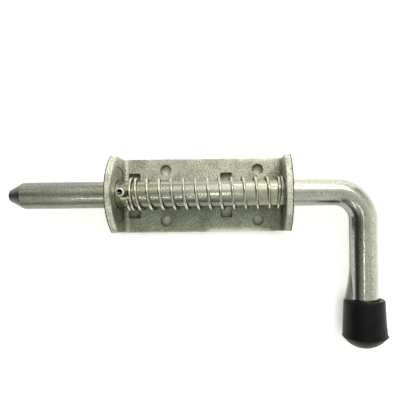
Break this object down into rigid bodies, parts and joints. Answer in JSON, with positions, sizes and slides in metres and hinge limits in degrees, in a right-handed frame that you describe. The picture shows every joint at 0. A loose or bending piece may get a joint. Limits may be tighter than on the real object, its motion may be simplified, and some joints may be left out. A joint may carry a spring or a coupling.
{
  "type": "spring latch bolt",
  "caption": "Spring-loaded latch: a bent round bolt with a rubber-capped handle slides and turns in the ears of a folded steel bracket.",
  "frame": {"origin": "middle of the four screw holes, on the back face of the bracket's plate", "axes": "+Z out of the plate towards the bolt, +X along the bolt away from its tip, handle towards -Y"},
  "size_m": [0.2238, 0.1165, 0.0316],
  "materials": {
    "zinc_plated_sheet": "zinc plated, mottled",
    "zinc_plated_bar": "drawn bar, zinc plated",
    "pin_steel": "plated spring steel",
    "spring_steel": "plated spring wire",
    "black_rubber": "satin"
  },
  "bodies": {
    "bracket": {"bracket": "zinc_plated_sheet"},
    "spring": {"spring": "spring_steel"},
    "bolt": {"bolt": "zinc_plated_bar", "roll_pin": "pin_steel", "end_cap": "black_rubber"}
  },
  "joints": [
    {"name": "bolt_turn", "type": "hinge", "parent": "bracket", "child": "spring", "pos_m": [0, 0, 0.0146], "axis": [1, 0, 0], "range_deg": [-135, 135]},
    {"name": "bolt_slide", "type": "slide", "parent": "spring", "child": "bolt", "axis": [1, 0, 0], "range_m": [0, 0.0585], "stiffness_N_per_m": 900, "springref_m": -0.002, "deforming": ["spring"]}
  ]
}
